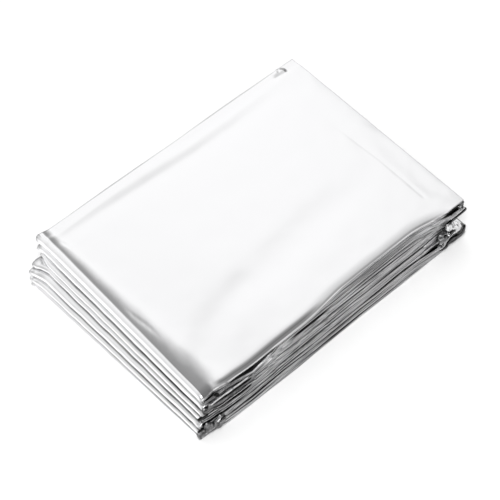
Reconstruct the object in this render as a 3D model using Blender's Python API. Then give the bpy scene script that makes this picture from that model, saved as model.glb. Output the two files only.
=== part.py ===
"""Emergency foil blanket, folded flat: one strip of film laid back and forth in fourteen leaves.

The strip starts as a flat slab. Every point of the slab then moves to its place on a leaf or in a
fold. Lengths are metres, +Z is up, and the pack stands on the middle of its underside.
"""

import math
from collections import namedtuple

import bmesh
import bpy

MM = 0.001

# Driving sizes
PACK_HEIGHT = 23.2 * MM  # of the flat middle of the top sheet
LEAF_THICKNESS = 1.0 * MM
LEAST_GAP = 0.32 * MM
FOLD_ROUNDNESS = 1.1  # how far a fold bulges, for each unit of half its height
TOP_FOLD_ROUNDNESS = 0.55  # of the flatter fold that the top sheet comes from
FOLD_STEPS = 4

LEAF_STATIONS = (0.014, 0.032, 0.06, 0.11, 0.20, 0.33, 0.47, 0.62, 0.77, 0.90, 0.965)
WIDTH_STATIONS = (0.0, 0.018, 0.045, 0.13, 0.36, 0.62, 0.86, 0.945, 1.0)

# Where each left fold reaches at its near and far end, bottom fold first, in mm from the middle,
# and how far its far corner flares out past that line.
LeftFold = namedtuple("LeftFold", "near far flare")
LEFT_FOLDS = (
    LeftFold(-58.7, -63.6, 0.0),
    LeftFold(-58.7, -63.4, 0.3),
    LeftFold(-58.4, -62.4, 0.4),
    LeftFold(-57.6, -60.6, 0.7),
    LeftFold(-57.0, -59.9, 0.5),
    LeftFold(-56.2, -57.6, 0.3),
    LeftFold(-55.9, -57.1, 0.3),
)
FLARE_LENGTH = 5.0 * MM

# The same for the right folds, and for the free ends of the bottom and top leaves.
RightFold = namedtuple("RightFold", "near far")
RIGHT_FOLDS = (
    RightFold(63.9, 62.2),
    RightFold(64.2, 61.2),
    RightFold(57.2, 59.8),
    RightFold(57.6, 59.3),
    RightFold(64.2, 60.3),
    RightFold(60.8, 61.2),
)
BOTTOM_FREE_END = RightFold(60.8, 60.8)
TOP_FREE_END = RightFold(61.6, 60.3)

# Long edges of each leaf, bottom leaf first, in mm: the near edge at the left corner, between the
# corners and at the right corner, the far edge, and a sideways wave of the near edge.
Edges = namedtuple("Edges", "corner near right far wave")
LEAF_EDGES = (
    Edges(-41.9, -43.4, -43.6, 41.3, 0.0),
    Edges(-42.1, -43.2, -44.0, 42.2, 0.2),
    Edges(-41.7, -43.1, -44.2, 42.6, -0.2),
    Edges(-41.9, -42.8, -44.0, 42.3, 0.2),
    Edges(-41.8, -42.5, -43.6, 42.7, -0.2),
    Edges(-41.5, -42.3, -42.2, 42.4, 0.2),
    Edges(-41.6, -42.0, -42.3, 42.9, -0.2),
    Edges(-41.4, -41.8, -42.0, 42.6, 0.2),
    Edges(-41.3, -41.5, -42.1, 42.8, -0.2),
    Edges(-41.4, -41.2, -42.5, 42.5, 0.2),
    Edges(-41.2, -41.0, -42.4, 43.0, -0.2),
    Edges(-41.3, -40.7, -43.0, 42.8, 0.2),
    Edges(-41.0, -40.4, -43.0, 43.2, -0.2),
    Edges(-40.9, -39.7, -42.3, 43.4, 0.1),
)
CORNER_LENGTH = 13.0 * MM
RIGHT_CORNER_START = 38.0 * MM
RIGHT_CORNER_LENGTH = 18.0 * MM

# How the slack in the pack's height is shared by the gap above each leaf: along the left folds,
# along the near edge, and in the rest of the pack.
Share = namedtuple("Share", "left_folds near_edge inside")
GAP_SHARES = (
    Share(0.25, 0.50, 0.4),
    Share(0.20, 0.40, 0.3),
    Share(0.25, 0.25, 0.4),
    Share(0.20, 0.45, 0.3),
    Share(1.00, 0.10, 0.5),
    Share(0.40, 0.08, 0.4),
    Share(0.04, 0.70, 0.3),
    Share(0.05, 0.08, 0.3),
    Share(0.04, 0.25, 0.3),
    Share(0.30, 0.10, 0.4),
    Share(1.00, 0.90, 0.4),
    Share(0.60, 0.08, 0.3),
    Share(1.50, 0.06, 0.4),
)

# Slits that stand open on the near edge: the gap, its middle and half length in mm, its share.
Slit = namedtuple("Slit", "gap middle half_length share")
SLITS = (
    Slit(12, -34.0, 12.0, 6.0),
    Slit(10, -8.0, 11.0, 3.0),
    Slit(12, 59.0, 9.0, 3.0),
    Slit(3, 49.0, 6.0, 3.0),
)

# Relief of the top sheet. The rim along the left fold stands up and the sheet falls away from it,
# over a width that grows towards the near corner, and comes back up to its level past that.
RIM_HEIGHT = 1.0 * MM
RIM_LINE = -54.7 * MM  # X of the rim's inner side, where the sheet starts to fall
RIM_NEAR_FALL = 2.2 * MM
RIM_FAR_FALL = 0.85 * MM
RIM_NEAR_WIDTH = 15.0 * MM
RIM_FAR_WIDTH = 4.4 * MM
RIM_STEEPNESS = 2.2  # above 1, the fall is steep at the rim and runs out softly
RIM_RISE_WIDTH = 28.0 * MM
CORNER_DIP_DEPTH = 0.3 * MM
CORNER_DIP_PLACE = (-45.0 * MM, -33.0 * MM)
CORNER_DIP_RADIUS = 14.0 * MM
NEAR_ROLL_WIDTH = 3.0 * MM
NEAR_ROLL_DROP = 1.0 * MM
RIGHT_ROLL_WIDTH = 6.0 * MM
RIGHT_ROLL_DROP = 0.12 * MM
LIFTED_CORNER_START = 44.0 * MM  # from here the near edge of the top sheet no longer rolls down
LIFTED_CORNER_LENGTH = 12.0 * MM
FAR_MARGIN_WIDTH = 4.6 * MM
FAR_MARGIN_DROP = 0.4 * MM
FAR_MARGIN_STEP = 1.9 * MM  # width over which the margin drops

NEAR_EDGE_DEPTH = 9.0 * MM  # how far in from an edge its own shares hold
LEFT_FOLD_START = 3.0 * MM
LEFT_FOLD_DEPTH = 8.0 * MM
EDGE_WAVE_LENGTH = 19.0 * MM  # for each radian of a near edge's wave

SHARP_ANGLE = math.radians(40.0)

FILM_COLOUR = (0.83, 0.84, 0.85, 1.0)
FILM_ROUGHNESS = 0.18

LEAF_COUNT = len(LEAF_EDGES)
TOP_LEAF = LEAF_COUNT - 1
LEFT_END = min(fold.near for fold in LEFT_FOLDS) * MM
FAR_SIDE = LEAF_EDGES[-1].far * MM
NEAR_SIDE = LEAF_EDGES[-1].near * MM


def blend(start, end, share):
    """Value that lies the given share of the way from start to end."""
    return start + (end - start) * share


def hold(value):
    """Value held between 0 and 1."""
    return min(max(value, 0.0), 1.0)


def ease(value):
    """Smooth step from 0 to 1."""
    held = hold(value)
    return held * held * (3.0 - 2.0 * held)


def bell(distance):
    """Smooth hump: 1 in the middle, 0 from a distance of 1."""
    return 1.0 - ease(abs(distance))


def near_edge(leaf, x):
    """Y of a leaf's near edge, drawn in or out at the corners."""
    edges = LEAF_EDGES[leaf]
    past_corner = ease((x - LEFT_END) / CORNER_LENGTH)
    to_right = ease((x - RIGHT_CORNER_START) / RIGHT_CORNER_LENGTH)
    wave = edges.wave * past_corner * math.sin(x / EDGE_WAVE_LENGTH + leaf)
    straight = blend(blend(edges.corner, edges.near, past_corner), edges.right, to_right)
    return (straight + wave) * MM


def edge_place(leaf, across, x):
    """Y of a point that lies the given share of the leaf's width from its near edge."""
    return blend(near_edge(leaf, x), LEAF_EDGES[leaf].far * MM, across)


def rim_relief(x, y):
    """Rim that stands up along the left fold and falls away to the right."""
    across = (y - NEAR_SIDE) / (FAR_SIDE - NEAR_SIDE)
    width = blend(RIM_NEAR_WIDTH, RIM_FAR_WIDTH, across)
    depth = blend(RIM_NEAR_FALL, RIM_FAR_FALL, across)
    fall = depth * (1.0 - (1.0 - hold((x - RIM_LINE) / width)) ** RIM_STEEPNESS)
    rise = (depth - RIM_HEIGHT) * ease((x - RIM_LINE - width) / RIM_RISE_WIDTH)
    return RIM_HEIGHT - fall + rise


def top_relief(x, y):
    """Height of the top sheet above or below the pack's nominal height."""
    relief = rim_relief(x, y)
    corner_x, corner_y = CORNER_DIP_PLACE
    corner = math.hypot(x - corner_x, y - corner_y) / CORNER_DIP_RADIUS
    relief -= CORNER_DIP_DEPTH * bell(corner)
    near_roll = (NEAR_SIDE + NEAR_ROLL_WIDTH - y) / NEAR_ROLL_WIDTH
    lifted = ease((x - LIFTED_CORNER_START) / LIFTED_CORNER_LENGTH)
    relief -= NEAR_ROLL_DROP * hold(near_roll) ** 2 * (1.0 - lifted)
    right_roll = (x - TOP_FREE_END.near * MM + RIGHT_ROLL_WIDTH) / RIGHT_ROLL_WIDTH
    relief -= RIGHT_ROLL_DROP * hold(right_roll) ** 2
    far_margin = (y - FAR_SIDE + FAR_MARGIN_WIDTH) / FAR_MARGIN_STEP
    relief -= FAR_MARGIN_DROP * ease(far_margin)
    return relief


def gap_shares(x, y):
    """Share of the slack that each gap takes at a place in the pack."""
    near = 1.0 - ease((y - LEAF_EDGES[0].near * MM) / NEAR_EDGE_DEPTH)
    left = 1.0 - ease((x - LEFT_END - LEFT_FOLD_START) / LEFT_FOLD_DEPTH)
    shares = []
    for gap in GAP_SHARES:
        share = blend(gap.inside, gap.near_edge, near)
        shares.append(blend(share, gap.left_folds, left))
    for slit in SLITS:
        distance = (x / MM - slit.middle) / slit.half_length
        shares[slit.gap] += slit.share * near * bell(distance)
    return shares


def fold_roundness(lower_leaf):
    """Roundness of the fold above a leaf."""
    return TOP_FOLD_ROUNDNESS if lower_leaf == TOP_LEAF - 1 else FOLD_ROUNDNESS


def leaf_height(leaf, x, y):
    """Height of the middle of a leaf. The leaves share the slack, so they never meet."""
    pitch = LEAF_THICKNESS + LEAST_GAP
    slack = PACK_HEIGHT - LEAF_THICKNESS - TOP_LEAF * pitch + top_relief(x, y)
    shares = gap_shares(x, y)
    below = sum(shares[:leaf]) / sum(shares)
    return 0.5 * LEAF_THICKNESS + leaf * pitch + slack * below


def fold_reach(lower_leaf, across):
    """Outermost X of the fold above a leaf, and its side: -1 on the left, 1 on the right."""
    if lower_leaf % 2:
        fold = RIGHT_FOLDS[lower_leaf // 2]
        return blend(fold.near, fold.far, across) * MM, 1
    fold = LEFT_FOLDS[lower_leaf // 2]
    from_far = (1.0 - across) * (FAR_SIDE - NEAR_SIDE)
    flare = fold.flare * (1.0 - ease(from_far / FLARE_LENGTH))
    return (blend(fold.near, fold.far, across) - flare) * MM, -1


def fold_start(lower_leaf, across):
    """X where two leaves stop and the fold that joins them begins."""
    reach, side = fold_reach(lower_leaf, across)
    inner = reach - side * 2.0 * LEAF_THICKNESS  # a place that is surely still on both leaves
    y = edge_place(lower_leaf, across, inner)
    rise = leaf_height(lower_leaf + 1, inner, y) - leaf_height(lower_leaf, inner, y)
    return reach - side * 0.5 * (LEAF_THICKNESS + fold_roundness(lower_leaf) * rise)


def leaf_ends(leaf, across):
    """X of the left and right end of a leaf: each is a fold, or the strip's free end."""
    left_fold = leaf - leaf % 2
    right_fold = leaf - 1 + leaf % 2
    if leaf == 0:
        right = blend(BOTTOM_FREE_END.near, BOTTOM_FREE_END.far, across) * MM
    elif leaf == TOP_LEAF:
        right = blend(TOP_FREE_END.near, TOP_FREE_END.far, across) * MM
    else:
        right = fold_start(right_fold, across)
    return fold_start(left_fold, across), right


def place_on_leaf(leaf, along, across, lift):
    """Point of the strip on a leaf. Even leaves run right to left and lie upside down."""
    left, right = leaf_ends(leaf, across)
    if leaf % 2:
        x = blend(left, right, along)
    else:
        x = blend(right, left, along)
        lift = -lift
    y = edge_place(leaf, across, x)
    return x, y, leaf_height(leaf, x, y) + lift


def place_in_fold(lower_leaf, turn, across, lift):
    """Point of the strip in the fold from a leaf to the one above, as half an ellipse."""
    side = fold_reach(lower_leaf, across)[1]
    x = fold_start(lower_leaf, across)
    low_y = edge_place(lower_leaf, across, x)
    high_y = edge_place(lower_leaf + 1, across, x)
    low = leaf_height(lower_leaf, x, low_y)
    high = leaf_height(lower_leaf + 1, x, high_y)
    half_rise = 0.5 * (high - low)
    bulge = fold_roundness(lower_leaf) * half_rise
    angle = math.pi * (turn - 0.5)
    out_x = half_rise * math.cos(angle)
    out_z = bulge * math.sin(angle)
    outward = -side * lift / math.hypot(out_x, out_z)
    return (
        x + side * (bulge * math.cos(angle) + outward * out_x),
        blend(low_y, high_y, turn),
        0.5 * (low + high) + half_rise * math.sin(angle) + outward * out_z,
    )


def strip_stations():
    """Every station along the strip: its placing function, leaf and share of the way along."""
    stations = [(place_on_leaf, 0, 0.0)]
    for leaf in range(LEAF_COUNT):
        steps = [step if leaf % 2 else 1.0 - step for step in LEAF_STATIONS]
        stations += [(place_on_leaf, leaf, step) for step in sorted(steps)]
        if leaf < TOP_LEAF:
            turns = range(FOLD_STEPS + 1)
            stations += [(place_in_fold, leaf, turn / FOLD_STEPS) for turn in turns]
    return stations + [(place_on_leaf, TOP_LEAF, 1.0)]


def stand_on_middle(bm):
    """Move the pack so that the middle of its underside is the origin."""
    for axis in range(2):
        places = [vert.co[axis] for vert in bm.verts]
        middle = 0.5 * (min(places) + max(places))
        for vert in bm.verts:
            vert.co[axis] -= middle


def folded_strip():
    """Flat slab with a row of points for each station, folded into the pack."""
    stations = strip_stations()
    bm = bmesh.new()
    bmesh.ops.create_grid(
        bm, x_segments=len(stations) - 1, y_segments=len(WIDTH_STATIONS) - 1, size=0.5
    )
    bmesh.ops.solidify(bm, geom=bm.faces[:], thickness=LEAF_THICKNESS)
    middle = sum(vert.co.z for vert in bm.verts) / len(bm.verts)
    for vert in bm.verts:
        column = round((vert.co.x + 0.5) * (len(stations) - 1))
        row = round((vert.co.y + 0.5) * (len(WIDTH_STATIONS) - 1))
        place, leaf, along = stations[column]
        vert.co = place(leaf, along, WIDTH_STATIONS[row], vert.co.z - middle)
    stand_on_middle(bm)
    mesh = bpy.data.meshes.new("blanket")
    bm.to_mesh(mesh)
    bm.free()
    return mesh


def film_material():
    """Aluminised polyester film: bright mirror-like metal, slightly blurred."""
    material = bpy.data.materials.new("aluminised_film")
    material.use_nodes = True
    shader = material.node_tree.nodes["Principled BSDF"]
    shader.inputs["Base Color"].default_value = FILM_COLOUR
    shader.inputs["Metallic"].default_value = 1.0
    shader.inputs["Roughness"].default_value = FILM_ROUGHNESS
    return material


def main():
    for old in list(bpy.data.objects):
        bpy.data.objects.remove(old, do_unlink=True)
    mesh = folded_strip()
    mesh.materials.append(film_material())
    mesh.shade_smooth()
    mesh.set_sharp_from_angle(angle=SHARP_ANGLE)
    blanket = bpy.data.objects.new("blanket", mesh)
    parts = bpy.data.collections.new("foil_blanket")
    bpy.context.scene.collection.children.link(parts)
    parts.objects.link(blanket)


main()
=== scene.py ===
import math
from collections import namedtuple
from functools import lru_cache

import bmesh
import bpy
from mathutils import Matrix, Vector, noise
from mathutils.bvhtree import BVHTree


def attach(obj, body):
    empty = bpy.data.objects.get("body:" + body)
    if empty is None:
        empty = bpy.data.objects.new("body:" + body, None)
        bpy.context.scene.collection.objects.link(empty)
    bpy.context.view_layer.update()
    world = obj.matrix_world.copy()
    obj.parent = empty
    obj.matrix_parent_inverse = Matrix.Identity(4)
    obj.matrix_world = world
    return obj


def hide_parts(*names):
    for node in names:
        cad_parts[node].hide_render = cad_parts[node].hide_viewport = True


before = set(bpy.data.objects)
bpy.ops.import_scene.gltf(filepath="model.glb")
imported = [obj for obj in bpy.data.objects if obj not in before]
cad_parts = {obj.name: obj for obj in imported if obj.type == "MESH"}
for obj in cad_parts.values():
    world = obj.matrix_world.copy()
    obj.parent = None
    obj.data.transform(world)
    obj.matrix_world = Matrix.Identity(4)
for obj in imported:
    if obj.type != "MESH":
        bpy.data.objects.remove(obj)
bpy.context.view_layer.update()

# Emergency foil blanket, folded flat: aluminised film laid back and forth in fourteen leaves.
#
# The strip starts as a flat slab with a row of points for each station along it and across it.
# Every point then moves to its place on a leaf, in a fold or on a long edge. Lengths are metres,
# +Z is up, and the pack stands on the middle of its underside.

MM = 0.001

PACK_HEIGHT = 23.2 * MM  # of the flat middle of the top sheet
LEAF_THICKNESS = 1.16 * MM
LEAST_GAP = 0.16 * MM
FOLD_ROUNDNESS = 1.1  # how far a fold bulges, for each unit of half its height
TOP_FOLD_ROUNDNESS = 0.55  # of the flatter fold that the top sheet comes from
FOLD_STEPS = 8
EDGE_STEPS = 12  # points round a leaf's long edge

# Stations along a leaf, as a distance in mm from its nearer end, and the widest step between them
LOWER_LEAF_STATIONS = (0.6, 1.4, 2.6, 4.2, 6.4, 9.4, 13.5)
LOWER_LEAF_STEP = 7.0
TOP_LEAF_STATIONS = (0.12, *(0.5 * n for n in range(1, 35)))
TOP_LEAF_STEP = 1.6
# The same across the strip, from either long edge
ROW_STATIONS = tuple(0.62 * n for n in range(1, 21))
ROW_STEP = 2.6

# Where each left fold reaches at its near and far end, bottom fold first, in mm from the middle,
# and how far its far corner flares out past that line
LeftFold = namedtuple("LeftFold", "near far flare")
LEFT_FOLDS = (
    LeftFold(-58.7, -63.6, 0.0),
    LeftFold(-58.6, -62.9, 0.6),
    LeftFold(-58.2, -61.6, 1.5),
    LeftFold(-57.3, -59.5, 2.1),
    LeftFold(-56.8, -58.8, -1.2),
    LeftFold(-56.2, -57.6, 0.3),
    LeftFold(-55.9, -57.1, 0.3),
)
FLARE_LENGTH = 7.0 * MM

# The same for the right folds, and for the free ends of the bottom and top leaves
RightFold = namedtuple("RightFold", "near far")
RIGHT_FOLDS = (
    RightFold(63.9, 62.2),
    RightFold(64.2, 61.2),
    RightFold(57.2, 59.8),
    RightFold(57.6, 59.3),
    RightFold(64.2, 60.3),
    RightFold(60.8, 61.2),
)
BOTTOM_FREE_END = RightFold(60.8, 60.8)
TOP_FREE_END = RightFold(61.6, 60.3)

# Long edges of each leaf, bottom leaf first, in mm: the near edge at the left corner, between the
# corners and at the right corner, the far edge, and a sideways wave of the near edge
Edges = namedtuple("Edges", "corner near right far wave")
LEAF_EDGES = (
    Edges(-41.9, -43.4, -43.6, 41.3, 0.0),
    Edges(-42.1, -43.2, -44.0, 42.2, 0.2),
    Edges(-41.7, -43.1, -44.2, 42.6, -0.2),
    Edges(-41.9, -42.8, -44.0, 42.3, 0.2),
    Edges(-41.8, -42.5, -43.6, 42.7, -0.2),
    Edges(-41.5, -42.3, -42.2, 42.4, 0.2),
    Edges(-41.6, -42.0, -42.3, 42.9, -0.2),
    Edges(-41.4, -41.8, -42.0, 42.6, 0.2),
    Edges(-41.3, -41.5, -42.1, 42.8, -0.2),
    Edges(-41.4, -41.2, -42.5, 42.5, 0.2),
    Edges(-41.2, -41.0, -42.4, 43.0, -0.2),
    Edges(-41.3, -40.7, -43.0, 42.8, 0.2),
    Edges(-41.0, -40.4, -43.0, 43.2, -0.2),
    Edges(-40.9, -39.7, -42.3, 43.4, 0.1),
)
CORNER_LENGTH = 13.0 * MM
RIGHT_CORNER_START = 38.0 * MM
RIGHT_CORNER_LENGTH = 18.0 * MM
EDGE_WAVE_LENGTH = 19.0 * MM  # for each radian of a near edge's wave

# Places where a leaf's near edge is drawn in, or stands out below zero: all but the leaf in mm
EdgeBump = namedtuple("EdgeBump", "leaf middle half_length reach")
EDGE_BUMPS = (
    EdgeBump(13, -51.0, 4.0, 0.3),
    EdgeBump(13, -45.0, 5.0, -0.2),
    EdgeBump(13, -32.0, 20.0, -1.2),
    EdgeBump(13, -12.0, 20.0, -1.5),
    EdgeBump(12, -51.0, 6.0, -0.5),
    EdgeBump(12, -32.0, 14.0, -0.8),
    EdgeBump(12, -34.5, 5.0, -0.7),
)

# How the slack in the pack's height is shared by the gap above each leaf: along the left folds,
# along the near edge, and in the rest of the pack
Share = namedtuple("Share", "left_folds near_edge inside")
GAP_SHARES = (
    Share(0.25, 0.50, 0.4),
    Share(0.20, 0.40, 0.3),
    Share(0.25, 0.25, 0.4),
    Share(0.20, 0.45, 0.3),
    Share(1.00, 0.10, 0.5),
    Share(0.20, 0.08, 0.4),
    Share(0.04, 0.70, 0.3),
    Share(0.05, 0.08, 0.3),
    Share(0.04, 0.25, 0.3),
    Share(0.60, 0.10, 0.4),
    Share(1.02, 1.20, 0.4),
    Share(0.15, 0.08, 0.3),
    Share(1.75, 0.06, 0.4),
)
NEAR_EDGE_DEPTH = 9.0 * MM  # how far in from an edge its own shares hold
LEFT_FOLD_START = 3.0 * MM
LEFT_FOLD_DEPTH = 8.0 * MM

# Slits that stand open on the near edge: the gap, its middle and half length in mm, its share.
# A share below zero presses the gap shut.
Slit = namedtuple("Slit", "gap middle half_length share")
SLITS = (
    Slit(12, -53.0, 7.0, -1.2),
    Slit(12, -34.5, 14.5, 12.0),
    Slit(9, -47.0, 14.0, 0.7),
    Slit(4, -50.0, 12.0, 0.5),
    Slit(10, -8.0, 11.0, 4.5),
    Slit(12, 59.0, 9.0, 3.0),
    Slit(8, 61.0, 10.0, 0.2),
    Slit(6, 56.5, 3.5, 0.3),
    Slit(3, 49.0, 6.0, 3.0),
)
# Painted shade of the slits
SLIT_SHADE_RISE = 2.0  # above 1, a slit is fully dark over more of its length

# Relief of the top sheet. The rim along the left fold stands up and the sheet falls away from it,
# over a width that grows towards the near corner.
RIM_HEIGHT = 1.0 * MM
RIM_LINE = -54.7 * MM  # X of the rim's inner side, where the sheet starts to fall
RIM_NEAR_FALL = 2.2 * MM
RIM_FAR_FALL = 0.85 * MM
RIM_NEAR_WIDTH = 15.0 * MM
RIM_FAR_WIDTH = 4.4 * MM
RIM_STEEPNESS = 2.2  # above 1, the fall is steep at the rim and runs out softly
RIM_RISE_WIDTH = 28.0 * MM  # over which the sheet comes back up to its level
CORNER_DIP_DEPTH = 0.3 * MM
CORNER_DIP_PLACE = (-45.0 * MM, -33.0 * MM)
CORNER_DIP_RADIUS = 14.0 * MM
NEAR_ROLL_WIDTH = 3.8 * MM
NEAR_ROLL_DROP = 1.15 * MM
NEAR_ROLL_STEEPNESS = 2.7
RIGHT_ROLL_WIDTH = 6.0 * MM
RIGHT_ROLL_DROP = 0.12 * MM
# Painted reflection: a dark line along the near roll, for the dark side of the room that the film
# mirrors there
ROLL_LINE_SHADE = 0.6
ROLL_LINE_PLACE = 1.3 * MM  # in from the edge
ROLL_LINE_HALF_WIDTH = 1.7 * MM
ROLL_LINE_INNER_WIDTH = 2.5 * MM
ROLL_LINE_START = -52.0 * MM
ROLL_LINE_RISE = 6.0 * MM
ROLL_LINE_END = 8.0 * MM
ROLL_LINE_FALL = 20.0 * MM
LIFTED_CORNER_START = 44.0 * MM  # from here the near edge of the top sheet no longer rolls down
LIFTED_CORNER_LENGTH = 12.0 * MM
# Hem along the far edge: the crease it starts from, as points in mm, and the drop past it
HEM_LINE = ((-54.4, 39.1), (-11.7, 40.3), (9.6, 38.3), (29.2, 38.2), (45.8, 38.7))
HEM_DROP = 0.4 * MM
HEM_STEP = 1.9 * MM  # width over which the hem drops

# Soft troughs and creases of the top sheet: half width, and a line of points with the depth there,
# all in mm. A line below zero depth stands up as a ridge.
Trough = namedtuple("Trough", "half_width line")
TROUGHS = (
    Trough(8.0, ((-44, -28, 0.1), (-37, -22, 0.35), (-28, -19, 0.4), (-18, -17.6, 0.35))),
    Trough(10.0, ((-18, -17.6, 0.3), (-5, -17.5, 0.38), (9, -15, 0.38), (25, -14, 0.3),
                  (43, -13.6, 0.1))),
    Trough(4.4, ((-60, 37.5, 0.2), (-40, 36.5, 0.4), (-15, 35.3, 0.5), (5, 34.0, 0.42),
                 (25, 33.8, 0.28), (48, 34.8, 0.06))),
    Trough(0.9, ((50.4, 12.9, 0.02), (52.1, -10.8, 0.05), (52.2, -32.2, 0.05))),
    Trough(4.5, ((57, -4, 0.05), (57, -34, 0.07))),
    Trough(1.8, ((-48.5, -40.6, -0.3), (-46.0, -40.8, -0.3))),
    Trough(0.9, ((50.0, 41.6, -0.7), (52.5, 42.9, -0.7), (54.2, 41.0, -0.7), (50.0, 41.6, -0.7))),
    Trough(0.9, ((-51.8, 35.4, -0.07), (-50.5, 32.1, -0.07))),
    Trough(0.9, ((-52.5, -1.0, -0.07), (-50.8, -10.1, -0.07))),
    Trough(0.9, ((-48.9, -37.7, -0.07), (-44.4, -38.9, -0.07))),
)

# Lips of the film plies that show along a leaf's long edge
LIP_DEPTH = 0.42 * MM
LIP_SHIFT = 0.16 * MM  # how far one lip may stand in front of the other
LIP_WAVE_LENGTH = 8.0 * MM
# Shift of that wave in radians from leaf to leaf, from lip to lip and from side to side
LEAF_PHASE = 2.3
LIP_PHASE = 1.7
SIDE_PHASE = 0.9
# The plies' edges take their lines and their painted shade between plies from these marks
PLY_EDGE_MARKS = (1.0, 0.7, 0.3)  # how much the plies' edges show at the edge and the next rows
UPPER_FACE = 0.9  # of half the thickness: from here up, the top sheet shows no plies
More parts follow.
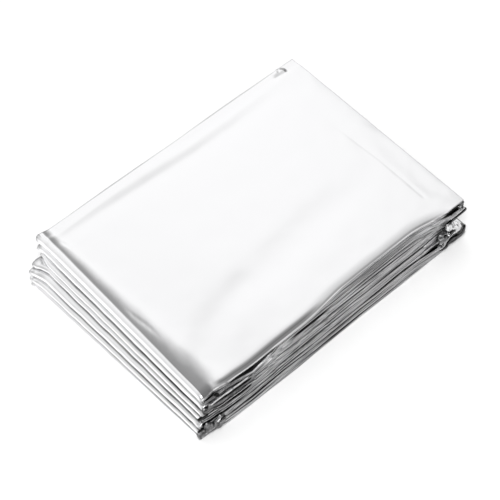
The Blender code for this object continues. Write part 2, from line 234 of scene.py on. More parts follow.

# Crumpled film that sticks out of the stack. A curl is a ribbon bent along its path; a closed path
# is the outline of a pressed lump. The path runs in the XZ plane at the outer Y, and the film
# goes inwards from there. All in mm; the shade is painted shade, how dark it is painted where it
# is pressed together, and a shade of 1 makes a lump painted black all over: a painted shadow that
# stands for a narrow hollow between two plies.
Curl = namedtuple("Curl", "outer_y width shade closed path")
CURLS = (
    # Near corner, from the bottom up
    Curl(-42.7, 1.4, 0.62, True, ((-59.3, 4.3), (-59.2, 6.4), (-57.6, 6.9), (-55.9, 5.7),
        (-55.7, 3.7), (-57.2, 3.1), (-58.7, 2.6))),
    Curl(-43.5, 1.6, 0.61, True, ((-56.5, 5.3), (-56.6, 9.5), (-55.1, 9.8), (-53.6, 7.5),
        (-54.1, 4.7), (-55.5, 4.0))),
    Curl(-44.2, 1.8, 0.60, True, ((-53.4, 5.8), (-53.6, 7.9), (-52.3, 8.6), (-50.3, 9.1),
        (-48.6, 7.9), (-49.0, 4.5), (-50.1, 3.3), (-52.1, 3.3))),
    Curl(-44.5, 0.5, 0.52, True, ((-52.1, 6.8), (-51.0, 8.2), (-49.7, 7.8), (-50.3, 6.3),
        (-51.5, 5.8))),
    Curl(-42.3, 0.8, 1.00, True, ((-59.0, 7.2), (-57.9, 7.4), (-56.4, 7.2), (-56.2, 6.3),
        (-57.7, 6.2), (-58.9, 6.4))),
    Curl(-44.4, 0.6, 1.00, True, ((-51.0, 9.0), (-50.0, 9.4), (-48.9, 9.1), (-49.0, 8.4),
        (-49.9, 8.3), (-50.8, 8.2))),
    Curl(-41.8, 0.8, 1.00, True, ((-58.4, 14.6), (-57.0, 14.4), (-54.3, 13.5), (-54.2, 12.7),
        (-56.4, 12.6), (-58.3, 13.3))),
    Curl(-42.0, 1.2, 0.68, True, ((-56.5, 17.5), (-56.1, 19.1), (-55.0, 18.6), (-54.2, 16.4),
        (-54.9, 14.8), (-56.0, 15.4))),
    Curl(-42.1, 1.2, 0.57, True, ((-54.2, 16.0), (-49.6, 14.7), (-43.2, 14.0), (-36.7, 13.2),
        (-33.9, 12.1), (-33.9, 14.7), (-36.7, 16.2), (-43.1, 17.5), (-49.5, 18.4), (-53.5, 19.5))),
    Curl(-42.4, 0.4, 0.56, False, ((-53.5, 19.6), (-49.7, 19.5), (-45.5, 19.0), (-41.2, 18.5),
        (-36.9, 18.2), (-34.3, 16.8))),
    Curl(-42.6, 0.6, 1.00, True, ((-52.5, 19.3), (-49.1, 18.3), (-44.9, 17.6), (-40.6, 17.1),
        (-36.2, 16.3), (-40.6, 16.3), (-44.9, 16.8), (-49.1, 17.5), (-52.3, 18.5))),
    Curl(-42.6, 0.5, 0.45, False, ((-52.6, 15.8), (-50.0, 14.7), (-45.8, 14.2), (-41.5, 13.7),
        (-37.1, 13.6), (-34.5, 12.7))),
    Curl(-42.7, 0.6, 1.00, True, ((-51.8, 14.8), (-48.0, 13.3), (-43.7, 12.8), (-39.4, 12.3),
        (-36.3, 12.1), (-39.4, 11.4), (-43.7, 12.0), (-48.0, 12.4))),
    Curl(-41.3, 0.6, 1.00, True, ((-50.9, 21.4), (-50.3, 21.7), (-49.3, 20.8), (-49.1, 19.9),
        (-50.0, 19.9), (-50.8, 20.6))),
    # Right corner, from the bottom up
    Curl(-44.9, 2.2, 0.05, False, ((49.8, 6.5), (51.8, 6.5), (52.9, 8.3), (54.0, 9.9),
        (55.6, 10.6), (57.2, 11.4))),
    Curl(-44.6, 0.8, 1.00, True, ((50.9, 4.4), (53.1, 3.8), (54.0, 5.8), (55.2, 6.9), (56.8, 7.0),
        (58.6, 6.1), (58.8, 5.0), (57.3, 5.7), (55.7, 5.5), (54.7, 4.2), (53.9, 2.6),
        (51.8, 3.3))),
    Curl(-44.8, 2.0, 0.66, True, ((62.4, 9.0), (62.5, 6.8), (61.6, 5.2), (60.6, 4.2), (59.0, 5.9),
        (58.0, 8.6), (59.3, 10.2), (61.0, 10.1))),
    Curl(-45.0, 0.6, 1.00, True, ((62.4, 9.2), (62.5, 6.7), (61.7, 4.9), (60.2, 4.1), (58.7, 5.1),
        (57.6, 6.9), (59.0, 6.6), (60.5, 6.5), (61.4, 8.1), (61.8, 9.8))),
    Curl(-44.2, 1.8, 0.56, True, ((50.0, 11.1), (51.1, 12.4), (52.5, 12.6), (54.4, 12.2),
        (55.2, 10.1), (54.1, 8.2), (52.8, 6.1), (51.4, 6.4))),
    Curl(-44.5, 0.5, 1.00, True, ((51.7, 11.7), (52.0, 12.6), (53.0, 12.3), (53.5, 11.1),
        (52.8, 10.6), (52.1, 10.9))),
    Curl(-44.7, 1.4, 0.42, True, ((52.2, 15.5), (52.2, 17.9), (53.4, 18.0), (55.0, 16.1),
        (55.1, 14.1), (54.1, 13.4))),
    Curl(-44.9, 2.0, 0.42, True, ((55.1, 11.9), (55.1, 14.5), (56.2, 15.5), (58.4, 13.9),
        (60.2, 11.3), (59.5, 9.6), (58.1, 9.0), (56.6, 9.5))),
    Curl(-45.1, 0.6, 1.00, True, ((53.9, 12.7), (54.6, 13.6), (55.9, 13.3), (56.7, 12.0),
        (55.7, 11.9), (54.7, 11.7))),
    Curl(-44.3, 0.5, 0.80, True, ((48.9, 14.0), (50.6, 14.4), (52.1, 14.6), (53.8, 14.0),
        (54.0, 13.1), (52.5, 13.3), (51.1, 13.3), (49.4, 13.2))),
    Curl(-43.2, 0.8, 1.00, True, ((55.8, 17.4), (58.8, 17.1), (61.2, 17.3), (62.9, 17.7),
        (63.4, 16.1), (61.4, 16.3), (58.9, 16.1), (56.2, 16.4))),
    Curl(-43.2, 0.8, 1.00, True, ((53.3, 16.6), (54.6, 16.8), (56.4, 16.4), (56.6, 15.6),
        (55.0, 15.8), (53.6, 15.8))),
    Curl(-43.3, 1.0, 0.20, False, ((55.1, 19.0), (57.4, 18.9), (59.3, 19.1), (61.6, 19.4))),
    Curl(-42.4, 1.2, 0.62, True, ((59.6, 21.2), (60.1, 22.9), (61.5, 22.4), (62.2, 20.5),
        (62.2, 18.9), (60.9, 19.7))),
)
CURL_THICKNESS = 0.3 * MM
CURL_WELD = 0.01 * MM  # points of a curl that lie closer than this become one
LINED_SHADE = 0.5  # lumps darker than this are lined like the plies' edges
CURL_STEPS = 5  # points from one point of a path to the next
CURL_WIDTH_STEPS = 4
# From the back of a lump to its front: share of its outline and of its width inwards
LUMP_PROFILE = ((0.0, 1.0), (0.6, 1.0), (1.0, 0.8), (1.0, 0.3), (0.9, 0.08), (0.6, 0.0),
                (0.3, 0.03), (0.0, 0.0))
CURL_CRUMPLE_SIZE = 1.1 * MM
LUMP_CRUMPLE_MOVE = 0.35 * MM
RIBBON_CRUMPLE_MOVE = 0.12 * MM
# Painted shade of the curls: size of its patches, how it changes, and painted light on faces that
# look up
CURL_SHADE_SIZE = 0.9 * MM
CURL_SHADE_CHANGE = 0.35  # how much the shade changes from crumple to crumple
CURL_TOP_LIGHT = 0.3  # how much lighter the faces that look up are

# Crumpling of the whole pack: size of one crumple and how far it moves the film
CRUMPLE_SIZE = 6.0 * MM
CRUMPLE_MOVE = 0.16 * MM
CORNER_CRUMPLE_SIZE = 2.6 * MM
CORNER_CRUMPLE_MOVE = 0.45 * MM
CORNER_CRUMPLE_RADIUS = 9.0 * MM
CRUMPLED_CORNERS = ((-58.0 * MM, -43.0 * MM), (60.0 * MM, -42.0 * MM), (-61.0 * MM, 44.0 * MM))
CRUMPLED_HEIGHT = 20.0 * MM  # above this the corners stay smooth
SMOOTH_TOP_SHARE = 0.35  # of the crumpling elsewhere that is left above that height
CRUMPLE_FADE = 2.0 * MM  # height over which crumples fade, off the floor and towards the top
CRUMPLE_SEED = 4
noise.seed_set(CRUMPLE_SEED)  # without it, the clock picks other crumples for each run

# Lines of sight that tell how deep a point lies in the gaps between leaves, for the shade painted
# there
SIGHT_LINES = 64
SIGHT_LENGTH = 5.0 * MM  # in the gaps between leaves
CURL_SIGHT_LENGTH = 0.55 * MM  # between a curl and what lies next to it
SIGHT_OFFSET = 0.02 * MM
LOWEST_SIGHT = 0.15  # cosine of the lowest line of sight off the surface
# Corners towards which the painted shade in the grooves is darker, or lighter below zero: place,
# radius and gain
CornerShade = namedtuple("CornerShade", "place radius gain")
CORNER_SHADES = (
    CornerShade((-60.0 * MM, -44.0 * MM), 60.0 * MM, 0.5),
    CornerShade((-62.0 * MM, 45.0 * MM), 26.0 * MM, -0.5),
    CornerShade((-60.0 * MM, 43.0 * MM), 12.0 * MM, -0.4),
    CornerShade((49.5 * MM, -43.0 * MM), 7.5 * MM, -0.8),
    CornerShade((40.0 * MM, -43.0 * MM), 18.0 * MM, -0.3),
    CornerShade((-46.0 * MM, -42.0 * MM), 10.0 * MM, -0.3),
)
# Painted shade on film that turns down at the left folds, towards the gap below it
FOLD_UNDERSIDE_SHADE = 0.40
FOLD_UNDERSIDE_TURN = 0.5  # how far the film points down where that shade is full
FOLD_UNDERSIDE_START = -54.0 * MM
FOLD_UNDERSIDE_RISE = 1.0 * MM
# A covered point within these is simply painted fully dark
COVERED_X = 52.0 * MM  # within these a covered point is simply shut in
COVERED_Y = 36.0 * MM

LEAF_COUNT = len(LEAF_EDGES)
TOP_LEAF = LEAF_COUNT - 1
LEFT_END = min(fold.near for fold in LEFT_FOLDS) * MM
FAR_SIDE = LEAF_EDGES[-1].far * MM
NEAR_SIDE = LEAF_EDGES[-1].near * MM
LEAF_LENGTH = 117.0 * MM


def blend(start, end, share):
    """Value that lies the given share of the way from start to end."""
    return start + (end - start) * share


def hold(value):
    """Value held between 0 and 1."""
    return min(max(value, 0.0), 1.0)


def ease(value):
    """Smooth step from 0 to 1."""
    held = hold(value)
    return held * held * (3.0 - 2.0 * held)


def bell(distance):
    """Smooth hump: 1 in the middle, 0 from a distance of 1."""
    return 1.0 - ease(abs(distance))


def near_edge(leaf, x):
    """Y of a leaf's near edge at a place along it, drawn in or out at both corners."""
    edges = LEAF_EDGES[leaf]
    past_corner = ease((x - LEFT_END) / CORNER_LENGTH)
    wave = edges.wave * past_corner * math.sin(x / EDGE_WAVE_LENGTH + leaf)
    for bump in EDGE_BUMPS:
        if bump.leaf == leaf:
            wave += bump.reach * bell((x / MM - bump.middle) / bump.half_length)
    to_right = ease((x - RIGHT_CORNER_START) / RIGHT_CORNER_LENGTH)
    straight = blend(blend(edges.corner, edges.near, past_corner), edges.right, to_right)
    return (straight + wave) * MM


def edge_place(leaf, across, x):
    """Y of a point that lies the given share of the leaf's width from its near edge."""
    return blend(near_edge(leaf, x), LEAF_EDGES[leaf].far * MM, across)


def line_height(line, x):
    """Height of a broken line at a place along it."""
    for (start_x, start), (end_x, end) in zip(line, line[1:]):
        if x < end_x:
            return blend(start, end, hold((x - start_x) / (end_x - start_x)))
    return line[-1][1]


def rim_relief(x, y):
    """Rim that stands up along the left fold and falls away to the right."""
    across = (y - NEAR_SIDE) / (FAR_SIDE - NEAR_SIDE)
    width = blend(RIM_NEAR_WIDTH, RIM_FAR_WIDTH, across)
    depth = blend(RIM_NEAR_FALL, RIM_FAR_FALL, across)
    fall = depth * (1.0 - (1.0 - hold((x - RIM_LINE) / width)) ** RIM_STEEPNESS)
    rise = (depth - RIM_HEIGHT) * ease((x - RIM_LINE - width) / RIM_RISE_WIDTH)
    return RIM_HEIGHT - fall + rise


def top_relief(x, y):
    """Height of the top sheet above or below the pack's nominal height."""
    relief = rim_relief(x, y)
    corner_x, corner_y = CORNER_DIP_PLACE
    corner = math.hypot(x - corner_x, y - corner_y) / CORNER_DIP_RADIUS
    relief -= CORNER_DIP_DEPTH * bell(corner)
    near_roll = (near_edge(TOP_LEAF, x) + NEAR_ROLL_WIDTH - y) / NEAR_ROLL_WIDTH
    lifted = ease((x - LIFTED_CORNER_START) / LIFTED_CORNER_LENGTH)
    relief -= NEAR_ROLL_DROP * hold(near_roll) ** NEAR_ROLL_STEEPNESS * (1.0 - lifted)
    right_roll = (x - TOP_FREE_END.near * MM + RIGHT_ROLL_WIDTH) / RIGHT_ROLL_WIDTH
    relief -= RIGHT_ROLL_DROP * hold(right_roll) ** 2
    relief -= HEM_DROP * ease((y - line_height(HEM_LINE, x / MM) * MM) / HEM_STEP)
    return relief


def trough_depth(x, y):
    """How deep the soft troughs and creases lie at a place on the top sheet."""
    place = Vector((x, y)) / MM
    total = 0.0
    for trough in TROUGHS:
        depths = [0.0]
        for start, end in zip(trough.line, trough.line[1:]):
            first, way = Vector(start[:2]), Vector(end[:2]) - Vector(start[:2])
            along = hold((place - first).dot(way) / way.length_squared)
            distance = (place - first - along * way).length
            depths.append(blend(start[2], end[2], along) * bell(distance / trough.half_width))
        total += max(depths, key=abs)
    return total * MM


def gap_shares(x, y):
    """Share of the slack that each gap takes at a place in the pack."""
    near = 1.0 - ease((y - LEAF_EDGES[0].near * MM) / NEAR_EDGE_DEPTH)
    left = 1.0 - ease((x - LEFT_END - LEFT_FOLD_START) / LEFT_FOLD_DEPTH)
    shares = []
    for gap in GAP_SHARES:
        share = blend(gap.inside, gap.near_edge, near)
        shares.append(blend(share, gap.left_folds, left))
    if near > 0.0:
        for slit in SLITS:
            distance = (x / MM - slit.middle) / slit.half_length
            shares[slit.gap] += slit.share * near * bell(distance)
    return shares


def leaf_height(leaf, x, y):
    """Height of the middle of a leaf. The leaves share the slack, so they never meet."""
    pitch = LEAF_THICKNESS + LEAST_GAP
    slack = PACK_HEIGHT - LEAF_THICKNESS - TOP_LEAF * pitch + top_relief(x, y)
    shares = gap_shares(x, y)
    below = sum(shares[:leaf]) / sum(shares)
    height = 0.5 * LEAF_THICKNESS + leaf * pitch + slack * below
    if leaf == TOP_LEAF:
        height -= trough_depth(x, y)
    return height


def slit_shade(leaf, from_under, row, place):
    """Painted shade of a point shut in by a slit. From_under runs from 0 under the leaf to 1 on
    top.
    """
    near = 1.0 - ease((place.y - NEAR_SIDE) / NEAR_EDGE_DEPTH)
    shade = 0.0
    for slit in SLITS:
        roof = leaf == slit.gap + 1 and from_under < 0.5
        ground = leaf == slit.gap and from_under > 0.5 and row > 0
        if slit.share > 0.0 and (roof or ground):
            distance = (place.x / MM - slit.middle) / slit.half_length
            shade = max(shade, near * hold(SLIT_SHADE_RISE * bell(distance)))
    return shade


def roll_line_shade(place):
    """How dark the painted reflection line along the near roll is at a place on the top sheet."""
    in_from_edge = place.y - near_edge(TOP_LEAF, place.x)
    from_line = in_from_edge - ROLL_LINE_PLACE
    across = bell(from_line / (ROLL_LINE_INNER_WIDTH if from_line > 0 else ROLL_LINE_HALF_WIDTH))
    rise = ease((place.x - ROLL_LINE_START) / ROLL_LINE_RISE)
    fall = ease((ROLL_LINE_END - place.x) / ROLL_LINE_FALL)
    return ROLL_LINE_SHADE * across * rise * fall


def fold_roundness(lower_leaf):
    """Roundness of the fold above a leaf."""
    return TOP_FOLD_ROUNDNESS if lower_leaf == TOP_LEAF - 1 else FOLD_ROUNDNESS


@lru_cache(maxsize=None)
def fold_reach(lower_leaf, across):
    """Outermost X of the fold above a leaf, and its side: -1 on the left, 1 on the right."""
    if lower_leaf % 2:
        fold = RIGHT_FOLDS[lower_leaf // 2]
        return blend(fold.near, fold.far, across) * MM, 1
    fold = LEFT_FOLDS[lower_leaf // 2]
    from_far = (1.0 - across) * (FAR_SIDE - NEAR_SIDE)
    flare = fold.flare * (1.0 - ease(from_far / FLARE_LENGTH))
    return (blend(fold.near, fold.far, across) - flare) * MM, -1


@lru_cache(maxsize=None)
def fold_start(lower_leaf, across):
    """X where two leaves stop and the fold that joins them begins."""
    reach, side = fold_reach(lower_leaf, across)
    inner = reach - side * 2.0 * LEAF_THICKNESS  # a place that is surely still on both leaves
    y = edge_place(lower_leaf, across, inner)
    rise = leaf_height(lower_leaf + 1, inner, y) - leaf_height(lower_leaf, inner, y)
    return reach - side * 0.5 * (LEAF_THICKNESS + fold_roundness(lower_leaf) * rise)


@lru_cache(maxsize=None)
def leaf_ends(leaf, across):
    """X of the left and right end of a leaf: each is a fold, or the strip's free end."""
    left_fold = leaf - leaf % 2
    right_fold = leaf - 1 + leaf % 2
    if leaf == 0:
        right = blend(BOTTOM_FREE_END.near, BOTTOM_FREE_END.far, across) * MM
    elif leaf == TOP_LEAF:
        right = blend(TOP_FREE_END.near, TOP_FREE_END.far, across) * MM
    else:
        right = fold_start(right_fold, across)
    return fold_start(left_fold, across), right


@lru_cache(maxsize=None)
def fold_frame(lower_leaf, across):
    """Start, side, edge places and heights of the two leaves that a fold joins."""
    side = fold_reach(lower_leaf, across)[1]
    x = fold_start(lower_leaf, across)
    low_y = edge_place(lower_leaf, across, x)
    high_y = edge_place(lower_leaf + 1, across, x)
    low = leaf_height(lower_leaf, x, low_y)
    high = leaf_height(lower_leaf + 1, x, high_y)
    return x, side, low_y, high_y, low, high


def place_on_leaf(leaf, along, across, lift):
    """Point of the strip on a leaf. Even leaves run right to left and lie upside down."""
    left, right = leaf_ends(leaf, across)
    if leaf % 2:
        x = blend(left, right, along)
    else:
        x = blend(right, left, along)
        lift = -lift
    y = edge_place(leaf, across, x)
    return Vector((x, y, leaf_height(leaf, x, y) + lift))


def place_in_fold(lower_leaf, turn, across, lift):
    """Point of the strip in the fold from a leaf to the one above, as half an ellipse."""
    x, side, low_y, high_y, low, high = fold_frame(lower_leaf, across)
    half_rise = 0.5 * (high - low)
    bulge = fold_roundness(lower_leaf) * half_rise
    angle = math.pi * (turn - 0.5)
    out_x = half_rise * math.cos(angle)
    out_z = bulge * math.sin(angle)
    outward = -side * lift / math.hypot(out_x, out_z)
    return Vector((
        x + side * (bulge * math.cos(angle) + outward * out_x),
        blend(low_y, high_y, turn),
        0.5 * (low + high) + half_rise * math.sin(angle) + outward * out_z,
    ))


def spread(length, end_distances, widest_step):
    """Shares from 0 to 1 along a length: close together at both ends and wide in the middle."""
    ends = [distance * MM for distance in end_distances]
    middle = length - 2.0 * ends[-1]
    steps = math.ceil(middle / (widest_step * MM))
    inner = [ends[-1] + middle * step / steps for step in range(1, steps)]
    places = ends + inner + [length - end for end in reversed(ends)]
    return [place / length for place in places]


def strip_stations():
    """Every station along the strip: its placing function, leaf and share of the way along."""
    lower = spread(LEAF_LENGTH, LOWER_LEAF_STATIONS, LOWER_LEAF_STEP)
    top = spread(LEAF_LENGTH, TOP_LEAF_STATIONS, TOP_LEAF_STEP)
    stations = [(place_on_leaf, 0, 0.0)]
    for leaf in range(LEAF_COUNT):
        steps = top if leaf == TOP_LEAF else lower
        stations += [(place_on_leaf, leaf, step) for step in steps]
        if leaf < TOP_LEAF:
            turns = range(FOLD_STEPS + 1)
            stations += [(place_in_fold, leaf, turn / FOLD_STEPS) for turn in turns]
    return stations + [(place_on_leaf, TOP_LEAF, 1.0)]


def lip_inset(share, leaf, side, x):
    """How far a long edge lies in at a share of its thickness: two rounded lips of plies."""
    lip = 1 if share > 0.0 else 0
    in_lip = 2.0 * abs(share) - 1.0  # -1 and 1 at the lip's borders
    rounded = LIP_DEPTH * (1.0 - math.sqrt(max(0.0, 1.0 - in_lip * in_lip)))
    phase = LEAF_PHASE * leaf + LIP_PHASE * lip + SIDE_PHASE * side
    shift = LIP_SHIFT * math.sin(x / LIP_WAVE_LENGTH + phase)
    at_border = 1.0 - in_lip ** 2
    return rounded + shift * at_border


def crumple(place):
    """Moves a point with its neighbours, a little everywhere and more at the crumpled corners."""
    off_floor = ease(place.z / CRUMPLE_FADE)
    soft = noise.noise_vector(place / CRUMPLE_SIZE) * CRUMPLE_MOVE
    soft.z *= off_floor
    moved = place + soft * (SMOOTH_TOP_SHARE if place.z > CRUMPLED_HEIGHT else 1.0)
    for corner_x, corner_y in CRUMPLED_CORNERS:
        distance = math.hypot(place.x - corner_x, place.y - corner_y) / CORNER_CRUMPLE_RADIUS
        strength = bell(distance) * (1.0 - ease((place.z - CRUMPLED_HEIGHT) / CRUMPLE_FADE))
        if distance < 1.0 and strength > 0.0:
            fine = noise.noise_vector(place / CORNER_CRUMPLE_SIZE) * CORNER_CRUMPLE_MOVE
            fine.z *= off_floor
            moved += fine * strength
    return moved


def spread_directions(count):
    """Unit vectors spread evenly over a sphere, along a spiral."""
    golden_turn = math.pi * (3.0 - math.sqrt(5.0))
    directions = []
    for number in range(count):
        height = 1.0 - (2.0 * number + 1.0) / count
        radius = math.sqrt(1.0 - height * height)
        turn = golden_turn * number
        directions.append(Vector((radius * math.cos(turn), radius * math.sin(turn), height)))
    return directions


def shut_share(vert, directions, obstacles):
    """Share of the lines of sight off a point that an obstacle stops within its length."""
    start = vert.co + vert.normal * SIGHT_OFFSET
    outward = [line for line in directions if line.dot(vert.normal) > LOWEST_SIGHT]
    shut = [
        line for line in outward
        if any(tree.ray_cast(start, line, length)[0] for tree, length in obstacles)
    ]
    return len(shut) / len(outward)


def paint_gap_shade(bm, curls):
    """Marks every point with painted shade, from how deep it lies in the gaps: 0 in the open, 1
    shut in.
    """
    painted_shade = bm.verts.layers.float["painted_shade"]
    curl_painted_shade = curls.verts.layers.float["painted_shade"]
    film_tree = BVHTree.FromBMesh(bm)
    curl_tree = BVHTree.FromBMesh(curls)
    directions = spread_directions(SIGHT_LINES)
    bm.normal_update()
    for vert in bm.verts:
        start = vert.co + vert.normal * SIGHT_OFFSET
        covered = film_tree.ray_cast(start, vert.normal, SIGHT_LENGTH)[0] is not None
        inside = abs(vert.co.x) < COVERED_X and abs(vert.co.y) < COVERED_Y
        if covered and inside:
            vert[painted_shade] = 1.0
            continue
        shut = shut_share(vert, directions, ((film_tree, SIGHT_LENGTH),))
        for corner in CORNER_SHADES:
            distance = (vert.co.xy - Vector(corner.place)).length / corner.radius
            shut *= 1.0 + corner.gain * bell(distance)
        on_left_fold = ease((FOLD_UNDERSIDE_START - vert.co.x) / FOLD_UNDERSIDE_RISE)
        turned_down = ease(-vert.normal.z / FOLD_UNDERSIDE_TURN)
        shut = max(shut, FOLD_UNDERSIDE_SHADE * on_left_fold * turned_down)
        vert[painted_shade] = max(vert[painted_shade], shut)
    obstacles = ((film_tree, CURL_SIGHT_LENGTH), (curl_tree, CURL_SIGHT_LENGTH))
    for vert in curls.verts:
        shut = shut_share(vert, directions, obstacles)
        vert[curl_painted_shade] = max(vert[curl_painted_shade], shut)


def link_piece(name, mesh, material):
    """Object with a mesh and a material, in the scene."""
    piece = bpy.data.objects.new(name, mesh)
    mesh.materials.append(material)
    bpy.context.scene.collection.objects.link(piece)
    return piece


def flat_slab(column_count, row_count):
    """Flat slab of unit size: a grid of points, its walls cut into steps round the edge."""
    bm = bmesh.new()
    bmesh.ops.create_grid(bm, x_segments=column_count - 1, y_segments=row_count - 1, size=0.5)
    bmesh.ops.solidify(bm, geom=bm.faces[:], thickness=1.0)
    walls = [edge for edge in bm.edges if abs(edge.verts[0].co.z - edge.verts[1].co.z) > 0.5]
    bmesh.ops.subdivide_edges(bm, edges=walls, cuts=EDGE_STEPS - 1, use_grid_fill=True)
    middle = 0.5 * (max(v.co.z for v in bm.verts) + min(v.co.z for v in bm.verts))
    for vert in bm.verts:
        vert.co.z = 2.0 * (vert.co.z - middle)
    return bm


def smooth_path(points, closed):
    """Points along a smooth curve through the given ones."""
    count = len(points)
    spans = count if closed else count - 1
    curve = []
    for span in range(spans):
        if closed:
            around = [points[(span + step) % count] for step in (-1, 0, 1, 2)]
        else:
            around = [points[min(max(span + step, 0), count - 1)] for step in (-1, 0, 1, 2)]
        before, start, end, after = (Vector(point) for point in around)
        for step in range(CURL_STEPS):
            t = step / CURL_STEPS
            curve.append(0.5 * (2.0 * start + (end - before) * t
                                + (2.0 * before - 5.0 * start + 4.0 * end - after) * t ** 2
                                + (3.0 * start - before - 3.0 * end + after) * t ** 3))
    curve.append(Vector(points[0] if closed else points[-1]))
    return curve


def add_mesh(target, source):
    """Adds the source's faces to the target."""
    mesh = bpy.data.meshes.new("added")
    source.to_mesh(mesh)
    target.from_mesh(mesh)
    bpy.data.meshes.remove(mesh)


def marked_mesh():
    """Empty mesh with the marks for plies' edges, which carry painted shade too, and for painted
    shade.
    """
    bm = bmesh.new()
    return bm, bm.verts.layers.float.new("ply_edges_and_shade"), bm.verts.layers.float.new("painted_shade")


def add_curl(target, curl):
    """Adds one curl or lump of crumpled film to the curls' mesh."""
    path = smooth_path(curl.path, curl.closed)
    middle = sum(path, Vector((0.0, 0.0))) / len(path)
    steps = len(LUMP_PROFILE) - 1 if curl.closed else CURL_WIDTH_STEPS
    crumple_move = LUMP_CRUMPLE_MOVE if curl.closed else RIBBON_CRUMPLE_MOVE
    bm, ply_edges_and_shade, painted_shade = marked_mesh()
    bmesh.ops.create_grid(bm, x_segments=len(path) - 1, y_segments=steps, size=0.5)
    for vert in bm.verts:
        place = path[round((vert.co.x + 0.5) * (len(path) - 1))]
        share = vert.co.y + 0.5
        if curl.closed:
            size, share = LUMP_PROFILE[round(share * steps)]
            place = middle.lerp(place, size)
        vert.co = Vector((place.x, curl.outer_y + share * curl.width, place.y)) * MM
        if curl.shade < 1.0:
            vert.co += noise.noise_vector(vert.co / CURL_CRUMPLE_SIZE) * crumple_move
    bmesh.ops.remove_doubles(bm, verts=bm.verts[:], dist=CURL_WELD)
    bmesh.ops.recalc_face_normals(bm, faces=bm.faces[:])
    if not curl.closed:
        bmesh.ops.solidify(bm, geom=bm.faces[:], thickness=CURL_THICKNESS)
        bmesh.ops.recalc_face_normals(bm, faces=bm.faces[:])
    bm.normal_update()
    # Painted shade of the curl, mottled and lighter on faces that look up; a hollow is painted
    # black all over
    for vert in bm.verts:
        crumpled = 1.0 + CURL_SHADE_CHANGE * noise.noise(vert.co / CURL_SHADE_SIZE)
        shaded = curl.shade * crumpled * (1.0 - CURL_TOP_LIGHT * vert.normal.z)
        vert[painted_shade] = shaded if curl.shade < 1.0 else 1.0
        vert[ply_edges_and_shade] = 1.0 if curl.closed and curl.shade > LINED_SHADE else 0.0
    add_mesh(target, bm)
    bm.free()


def folded_strip():
    """The whole strip, folded into the pack, with its plies' edges marked and shade painted into
    its colour.
    """
    stations = strip_stations()
    width = FAR_SIDE - NEAR_SIDE
    rows = [0.0] + spread(width, ROW_STATIONS, ROW_STEP) + [1.0]
    bm = flat_slab(len(stations), len(rows))
    ply_edges_and_shade = bm.verts.layers.float.new("ply_edges_and_shade")
    painted_shade = bm.verts.layers.float.new("painted_shade")
    for vert in bm.verts:
        column = round((vert.co.x + 0.5) * (len(stations) - 1))
        row = round((vert.co.y + 0.5) * (len(rows) - 1))
        place, leaf, along = stations[column]
        share = vert.co.z
        lift = 0.5 * LEAF_THICKNESS * math.sin(0.5 * math.pi * share)
        point = place(leaf, along, rows[row], lift)
        from_edge = min(row, len(rows) - 1 - row)
        if from_edge < len(PLY_EDGE_MARKS) and (leaf < TOP_LEAF or share < UPPER_FACE):
            vert[ply_edges_and_shade] = PLY_EDGE_MARKS[from_edge]
        if from_edge == 0:
            side = -1 if row == 0 else 1
            point.y -= side * lip_inset(share, leaf, side, point.x)
        # Painted shade in the slits
        if place is place_on_leaf:
            from_under = 0.5 + 0.5 * (share if leaf % 2 else -share)
            vert[painted_shade] = slit_shade(leaf, from_under, row, point)
            # Painted reflection: the dark line along the top sheet's near roll
            if leaf == TOP_LEAF:
                vert[painted_shade] = max(vert[painted_shade], roll_line_shade(point))
        vert.co = crumple(point)
    bmesh.ops.recalc_face_normals(bm, faces=bm.faces[:])
    for face in bm.faces:
        face.smooth = True
    curls = marked_mesh()[0]
    for curl in CURLS:
        add_curl(curls, curl)
    paint_gap_shade(bm, curls)
    add_mesh(bm, curls)
    curls.free()
    mesh = bpy.data.meshes.new("foil_strip")
    bm.to_mesh(mesh)
    bm.free()
    return mesh


def linear_colour(code):
    """Linear RGBA of an sRGB hex colour."""
    channels = [int(code[i:i + 2], 16) / 255.0 for i in (0, 2, 4)]
    linear = [c / 12.92 if c <= 0.04045 else ((c + 0.055) / 1.055) ** 2.4 for c in channels]
    return (*linear, 1.0)


def add_node(tree, kind, sockets=None, **settings):
    """Adds a node, sets its settings, and sets or links its input sockets."""
    node = tree.nodes.new(kind)
    for name, value in settings.items():
        setattr(node, name, value)
    for key, value in (sockets or {}).items():
        if isinstance(value, bpy.types.NodeSocket):
            tree.links.new(value, node.inputs[key])
        else:
            node.inputs[key].default_value = value
    return node


def set_ramp(node, stops):
    """Gives a colour ramp its stops: position and grey level or colour."""
    elements = node.color_ramp.elements
    while len(elements) < len(stops):
        elements.new(1.0)
    for element, (position, level) in zip(elements, stops):
        element.position = position
        element.color = level if isinstance(level, tuple) else (level, level, level, 1.0)


def mix_colours(tree, kind, share, first, second):
    """Colour made from two others."""
    node = add_node(tree, "ShaderNodeMix", data_type="RGBA", blend_type=kind, sockets={
        0: share, 6: first, 7: second})
    return node.outputs[2]


FILM_TINT = "F5F5F6"
# Plies' edges: greyer and lined, partly their own rougher edges, partly painted shade between
# plies
PLY_EDGE_SHADED_TINT = "DEDEDF"
PLY_LINE_SHADE_TINT = "8C8C8D"
FILM_ROUGHNESS = 0.16
PLY_EDGE_ROUGHNESS = 0.38
# Lines along the stacked plies, stretched along the pack, with painted shade between the plies:
# how many in a metre of X, Y and Z
PLY_LINE_SCALE = (40.0, 400.0, 2800.0)  # one each 0.35 mm of height
PLY_LINE_STOPS = ((0.34, PLY_LINE_SHADE_TINT), (0.58, PLY_EDGE_SHADED_TINT))
PLY_LINE_HEIGHT = 0.25 * MM
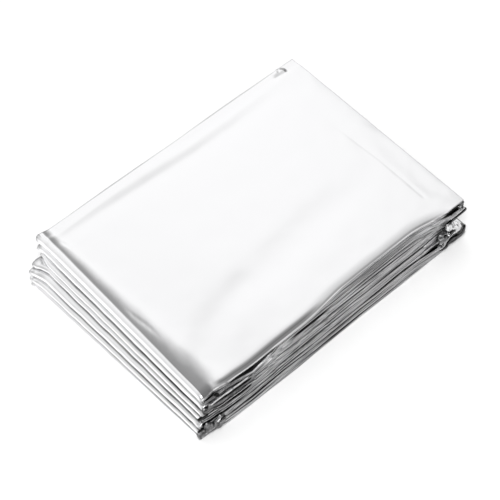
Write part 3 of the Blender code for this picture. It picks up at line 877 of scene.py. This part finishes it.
# Crinkles of the film: how many in a metre, and how high
BROAD_CRINKLES = 140.0  # one each 7 mm
BROAD_CRINKLE_HEIGHT = 0.06 * MM
FINE_CRINKLES = 650.0  # one each 1.5 mm
FINE_CRINKLE_HEIGHT = 0.008 * MM
# Painted shade in the gaps: the film darkens from the first mark to the second, where this much
# light is left
PAINTED_SHADE_START = 0.22
PAINTED_SHADE_FULL = 0.78
PAINTED_SHADE_LIGHT_LEFT = 0.03


def aluminised_polyester_film():
    """Polyester film with a coat of evaporated aluminium: a bright mirror, softly blurred by its
    fine crinkles. Where its plies end in a stack of tiny lips, it is lined, and greyer with
    painted shade between the plies; in the gaps it is darkened with painted shade."""
    material = bpy.data.materials.new("aluminised_polyester_film")
    material.use_nodes = True
    tree = material.node_tree
    shader = tree.nodes["Principled BSDF"]
    coordinates = add_node(tree, "ShaderNodeTexCoord")
    place = coordinates.outputs["Object"]

    along_edge = add_node(tree, "ShaderNodeMapping", {
        "Vector": place, "Scale": PLY_LINE_SCALE}, vector_type="POINT")
    lines = add_node(tree, "ShaderNodeTexNoise", {
        "Vector": along_edge.outputs[0], "Scale": 1.0, "Detail": 2.0, "Roughness": 0.6})
    line_shade = add_node(tree, "ShaderNodeValToRGB", {0: lines.outputs["Fac"]})
    set_ramp(line_shade, [(stop, linear_colour(tint)) for stop, tint in PLY_LINE_STOPS])
    mask = add_node(tree, "ShaderNodeAttribute", attribute_name="ply_edges_and_shade")
    tinted = mix_colours(tree, "MIX", mask.outputs["Fac"], linear_colour(FILM_TINT),
                         line_shade.outputs["Color"])

    broad = add_node(tree, "ShaderNodeTexNoise", {
        "Vector": place, "Scale": BROAD_CRINKLES, "Detail": 1.0, "Roughness": 0.5})
    fine = add_node(tree, "ShaderNodeTexNoise", {
        "Vector": place, "Scale": FINE_CRINKLES, "Detail": 2.0, "Roughness": 0.5})
    broad_bump = add_node(tree, "ShaderNodeBump", {
        "Strength": 1.0, "Distance": BROAD_CRINKLE_HEIGHT, "Height": broad.outputs["Fac"]})
    fine_bump = add_node(tree, "ShaderNodeBump", {
        "Strength": 1.0, "Distance": FINE_CRINKLE_HEIGHT, "Height": fine.outputs["Fac"],
        "Normal": broad_bump.outputs["Normal"]})
    line_relief = add_node(tree, "ShaderNodeMath", {
        0: lines.outputs["Fac"], 1: mask.outputs["Fac"]}, operation="MULTIPLY")
    line_bump = add_node(tree, "ShaderNodeBump", {
        "Strength": 1.0, "Distance": PLY_LINE_HEIGHT, "Height": line_relief.outputs[0],
        "Normal": fine_bump.outputs["Normal"]})

    roughness = add_node(tree, "ShaderNodeMapRange", {
        "Value": mask.outputs["Fac"], "To Min": FILM_ROUGHNESS, "To Max": PLY_EDGE_ROUGHNESS})
    # Painted shade: the base colour darkens with the painted shade mark
    gap = add_node(tree, "ShaderNodeAttribute", attribute_name="painted_shade")
    painted_shade_light = add_node(tree, "ShaderNodeMapRange", interpolation_type="SMOOTHSTEP", sockets={
        "Value": gap.outputs["Fac"], "From Min": PAINTED_SHADE_START, "From Max": PAINTED_SHADE_FULL,
        "To Min": 1.0, "To Max": PAINTED_SHADE_LIGHT_LEFT})
    shaded = mix_colours(tree, "MULTIPLY", 1.0, tinted, painted_shade_light.outputs[0])
    tree.links.new(shaded, shader.inputs["Base Color"])
    tree.links.new(roughness.outputs[0], shader.inputs["Roughness"])
    tree.links.new(line_bump.outputs["Normal"], shader.inputs["Normal"])
    shader.inputs["Metallic"].default_value = 1.0
    return material


# Camera: above the near left corner, with a long lens
CAMERA_AZIMUTH = math.radians(-41.817)
CAMERA_ELEVATION = math.radians(57.335)
CAMERA_DISTANCE = 510.4 * MM
CAMERA_AIM = Vector((-4.225, -5.841, 17.343)) * MM
CAMERA_LENS = 108.0
CAMERA_SENSOR = 36.0


def add_camera():
    """Camera that looks down on the pack's near left corner."""
    back = Vector((
        math.sin(CAMERA_AZIMUTH) * math.cos(CAMERA_ELEVATION),
        -math.cos(CAMERA_AZIMUTH) * math.cos(CAMERA_ELEVATION),
        math.sin(CAMERA_ELEVATION),
    ))
    right = Vector((0.0, 0.0, 1.0)).cross(back).normalized()
    up = back.cross(right)
    data = bpy.data.cameras.new("camera")
    data.lens = CAMERA_LENS
    data.sensor_width = CAMERA_SENSOR
    camera = bpy.data.objects.new("camera", data)
    turn = Matrix((right, up, back)).transposed().to_4x4()
    camera.matrix_world = Matrix.Translation(CAMERA_AIM + back * CAMERA_DISTANCE) @ turn
    bpy.context.scene.collection.objects.link(camera)
    bpy.context.scene.camera = camera


# Light of the studio: brightness from the left (-X) to the right, then from the near side (-Y)
# to the far side. Each is a position from 0 to 1 and a level, and the two are multiplied.
LEFT_TO_RIGHT_LIGHT = (
    (0.0, 0.72), (0.25, 0.86), (0.62, 0.95), (0.745, 1.0), (0.84, 0.30), (1.0, 0.22))
NEAR_TO_FAR_LIGHT = (
    (0.0, 0.14), (0.09, 0.34), (0.24, 0.55), (0.5, 0.74), (0.60, 0.83), (0.67, 0.96), (0.74, 1.0))
LIGHT_STRENGTH = 1.1
LAMP_DISTANCE = 900.0 * MM
LAMP_SIZE = 360.0 * MM
LAMP_POWER = 5.0
LAMP_ELEVATION = math.radians(62.0)
FLOOR_SIZE = 3.0
FLOOR_DROP = 0.05 * MM
FLOOR_TINT = "FFFFFF"
FLOOR_ROUGHNESS = 0.9


def light_studio():
    """Soft light all round: bright above, behind and on the left, greyer on the right and near."""
    world = bpy.data.worlds.new("studio")
    bpy.context.scene.world = world
    world.use_nodes = True
    tree = world.node_tree
    background = tree.nodes["Background"]
    coordinates = add_node(tree, "ShaderNodeTexCoord")
    parts = add_node(tree, "ShaderNodeSeparateXYZ", {0: coordinates.outputs["Generated"]})
    levels = []
    for axis, stops in ((0, LEFT_TO_RIGHT_LIGHT), (1, NEAR_TO_FAR_LIGHT)):
        share = add_node(tree, "ShaderNodeMapRange", {
            "Value": parts.outputs[axis], "From Min": -1.0, "From Max": 1.0})
        ramp = add_node(tree, "ShaderNodeValToRGB", {0: share.outputs[0]})
        set_ramp(ramp, stops)
        levels.append(ramp.outputs["Color"])
    light = mix_colours(tree, "MULTIPLY", 1.0, *levels)
    tree.links.new(light, background.inputs["Color"])
    background.inputs["Strength"].default_value = LIGHT_STRENGTH


def add_lamp():
    """Soft lamp above the camera, so that the floor stays pale round the pack."""
    data = bpy.data.lights.new("lamp", "AREA")
    data.shape = "DISK"
    data.size = LAMP_SIZE
    data.energy = LAMP_POWER
    lamp = bpy.data.objects.new("lamp", data)
    toward = Vector((
        math.sin(CAMERA_AZIMUTH) * math.cos(LAMP_ELEVATION),
        -math.cos(CAMERA_AZIMUTH) * math.cos(LAMP_ELEVATION),
        math.sin(LAMP_ELEVATION),
    ))
    lamp.rotation_euler = toward.to_track_quat("Z", "Y").to_euler()
    lamp.location = CAMERA_AIM + toward * LAMP_DISTANCE
    bpy.context.scene.collection.objects.link(lamp)


def lay_floor():
    """Plain pale floor."""
    material = bpy.data.materials.new("pale_floor")
    material.use_nodes = True
    shader = material.node_tree.nodes["Principled BSDF"]
    shader.inputs["Base Color"].default_value = linear_colour(FLOOR_TINT)
    shader.inputs["Roughness"].default_value = FLOOR_ROUGHNESS
    bm = bmesh.new()
    bmesh.ops.create_grid(bm, x_segments=1, y_segments=1, size=0.5 * FLOOR_SIZE)
    bmesh.ops.translate(bm, vec=(0.0, 0.0, -FLOOR_DROP), verts=bm.verts[:])
    mesh = bpy.data.meshes.new("floor")
    bm.to_mesh(mesh)
    bm.free()
    link_piece("floor", mesh, material)


add_camera()
light_studio()
add_lamp()
lay_floor()
bpy.context.scene.view_settings.view_transform = "Standard"

film = aluminised_polyester_film()
strip = link_piece("foil_strip", folded_strip(), film)
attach(strip, "root")
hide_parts("blanket")
